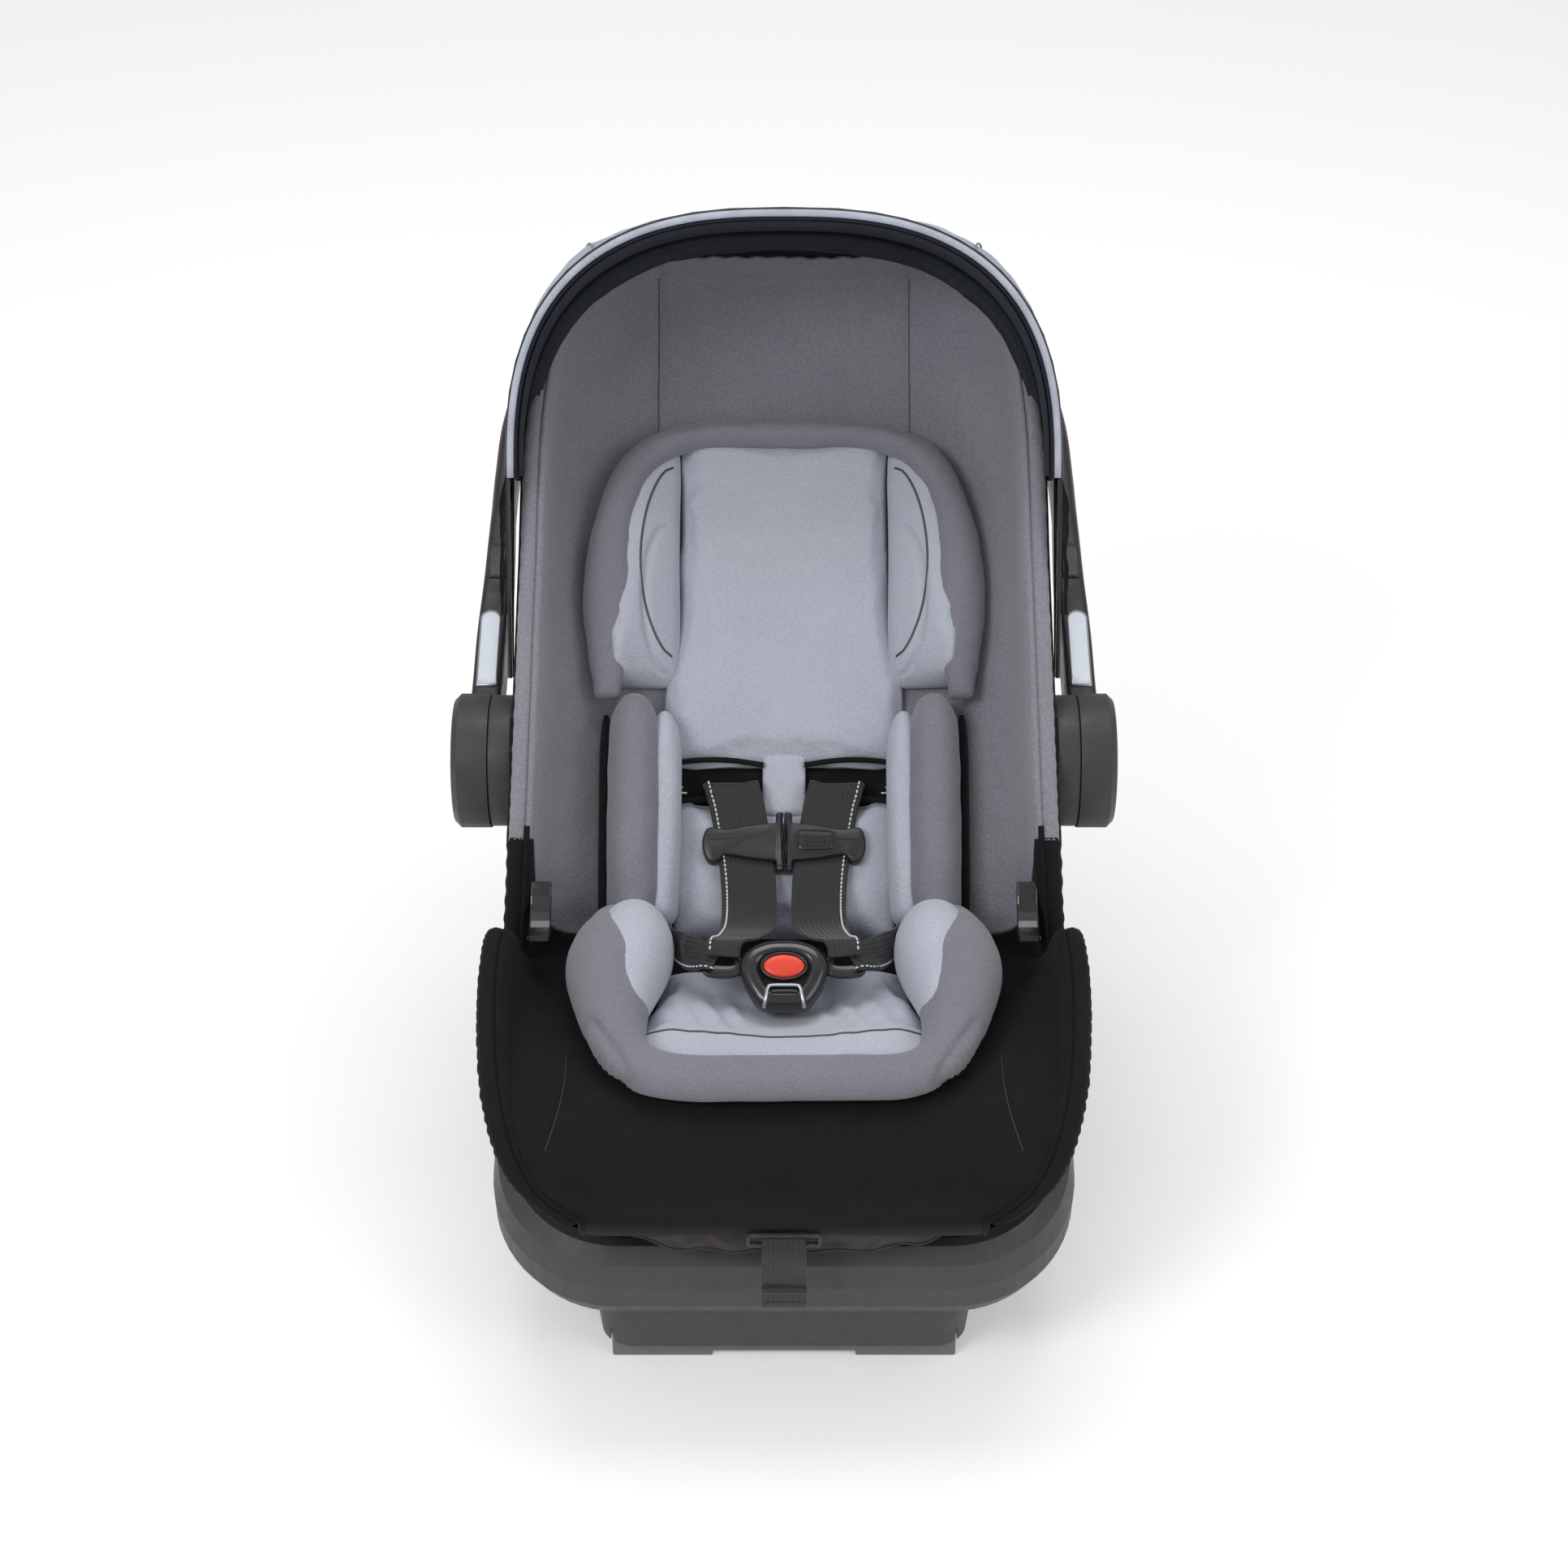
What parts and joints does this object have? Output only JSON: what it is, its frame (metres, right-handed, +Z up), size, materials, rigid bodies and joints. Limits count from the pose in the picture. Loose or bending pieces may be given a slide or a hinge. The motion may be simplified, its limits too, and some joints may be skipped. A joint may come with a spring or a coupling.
{
  "type": "infant car seat",
  "caption": "Rear-facing infant car seat: padded bucket carrier with carry handle, folding canopy and five-point harness on a levelling vehicle base.",
  "frame": {"origin": "on the floor, under the middle of the bounding box", "axes": "+X towards the sitter's left hand, +Y from the foot end towards the head end, +Z up"},
  "size_m": [0.44, 0.7219, 0.6321],
  "materials": {
    "base_plastic": "fine grain",
    "dark_plastic": "satin",
    "clear_window": "clear",
    "black_webbing": "woven",
    "steel": "brushed",
    "foot_plastic": "fine grain",
    "shell_plastic": "fine grain",
    "rail_plastic": "fine grain",
    "foam": "matt",
    "grey_mesh": "knitted mesh",
    "black_fabric": "woven",
    "skirt_fabric": "thin woven",
    "grey_knit": "knitted",
    "pale_knit": "brushed knit",
    "gloss_black": "semi gloss",
    "hub_plastic": "fine grain",
    "canopy_fabric": "woven",
    "red_button": "gloss",
    "silver": "satin",
    "grip_rubber": "matt",
    "button_plastic": "satin",
    "canopy_lining": "woven"
  },
  "bodies": {
    "base": {"base_tray": "base_plastic", "anchor_saddles": "dark_plastic", "level_window": "clear_window", "latch_belt": "black_webbing", "latch_connectors": "dark_plastic", "latch_adjuster": "steel"},
    "level_foot": {"level_foot": "foot_plastic"},
    "carrier": {"carrier_shell": "shell_plastic", "rocker_rail_left": "rail_plastic", "rocker_rail_right": "rail_plastic", "anchor_bars": "steel", "foam_liner": "foam", "seat_cover_back": "grey_mesh", "seat_cover_front": "black_fabric", "cover_skirt": "skirt_fabric", "head_pillow": "grey_knit", "head_wing_left": "pale_knit", "head_wing_right": "pale_knit", "insert_upper_pad": "pale_knit", "insert_lower_pad": "pale_knit", "insert_bolster_left": "grey_knit", "insert_bolster_right": "grey_knit", "seat_cushion": "pale_knit", "seat_bolster": "grey_knit", "shoulder_strap_left": "black_webbing", "shoulder_strap_right": "black_webbing", "hip_strap_left": "black_webbing", "hip_strap_right": "black_webbing", "crotch_strap": "black_webbing", "buckle_tongue_left": "gloss_black", "buckle_tongue_right": "gloss_black", "buckle_body": "gloss_black", "harness_yoke": "steel", "adjuster_strap": "black_webbing", "adjuster_housing": "dark_plastic", "hub_housing_left": "hub_plastic", "hub_housing_right": "hub_plastic", "hub_axles": "steel", "belt_guide_left": "dark_plastic", "belt_guide_right": "dark_plastic", "canopy_rear": "canopy_fabric", "shell_screws": "steel"},
    "buckle_button": {"buckle_button": "red_button"},
    "chest_clip": {"chest_clip_left": "dark_plastic", "chest_clip_right": "dark_plastic"},
    "chest_clip_button": {"chest_clip_button": "dark_plastic"},
    "adjuster_lever": {"adjuster_lever": "steel"},
    "handle": {"handle_bar": "shell_plastic", "handle_hub_left": "hub_plastic", "handle_hub_right": "hub_plastic", "handle_insert_left": "silver", "handle_insert_right": "silver", "handle_grip": "grip_rubber"},
    "handle_button_left": {"handle_button_left": "button_plastic"},
    "handle_button_right": {"handle_button_right": "button_plastic"},
    "canopy_mid": {"canopy_mid_bow": "black_fabric", "canopy_mid_panel": "canopy_lining"},
    "canopy_front": {"canopy_front_bow": "black_fabric", "canopy_front_panel": "canopy_fabric"},
    "release_handle": {"release_handle": "button_plastic"}
  },
  "joints": [
    {"name": "level_foot_slide", "type": "slide", "parent": "base", "child": "level_foot", "axis": [0, 0, -1], "range_m": [0, 0.025]},
    {"name": "carrier_lift", "type": "slide", "parent": "base", "child": "carrier", "axis": [0, 0, 1], "range_m": [0, 0.25]},
    {"name": "buckle_press", "type": "slide", "parent": "carrier", "child": "buckle_button", "axis": [0, 0.5, -0.866], "range_m": [0, 0.003], "stiffness_N_per_m": 3000, "springref_m": -0.002},
    {"name": "chest_clip_slide", "type": "slide", "parent": "carrier", "child": "chest_clip", "axis": [0, 0.7891, 0.6143], "range_m": [-0.004, 0.005]},
    {"name": "chest_clip_press", "type": "slide", "parent": "chest_clip", "child": "chest_clip_button", "axis": [0, 0.6143, -0.7891], "range_m": [0, 0.0014], "stiffness_N_per_m": 2500, "springref_m": -0.002},
    {"name": "adjuster_tilt", "type": "hinge", "parent": "carrier", "child": "adjuster_lever", "pos_m": [0, -0.2924, 0.179], "axis": [1, 0, 0], "range_deg": [0, 25], "stiffness_Nm_per_rad": 0.4, "springref_deg": -11.46},
    {"name": "handle_turn", "type": "hinge", "parent": "carrier", "child": "handle", "pos_m": [0, -0.0444, 0.3], "axis": [1, 0, 0], "range_deg": [-10, 130]},
    {"name": "handle_press_left", "type": "slide", "parent": "handle", "child": "handle_button_left", "axis": [1, 0, 0], "range_m": [0, 0.004], "stiffness_N_per_m": 2000, "springref_m": -0.002},
    {"name": "handle_press_right", "type": "slide", "parent": "handle", "child": "handle_button_right", "axis": [-1, 0, 0], "range_m": [0, 0.004], "stiffness_N_per_m": 2000, "springref_m": -0.002},
    {"name": "canopy_mid_turn", "type": "hinge", "parent": "carrier", "child": "canopy_mid", "pos_m": [0, -0.0444, 0.3], "axis": [1, 0, 0], "range_deg": [0, 35]},
    {"name": "canopy_front_turn", "type": "hinge", "parent": "canopy_mid", "child": "canopy_front", "pos_m": [0, -0.0444, 0.3], "axis": [1, 0, 0], "range_deg": [0, 35]},
    {"name": "release_pull", "type": "slide", "parent": "carrier", "child": "release_handle", "axis": [0, 0.7071, 0.7071], "range_m": [0, 0.012], "stiffness_N_per_m": 1500, "springref_m": -0.002}
  ],
  "couplings": [
    {"joint": "canopy_front_turn", "follows": "canopy_mid_turn", "ratio": 1}
  ]
}
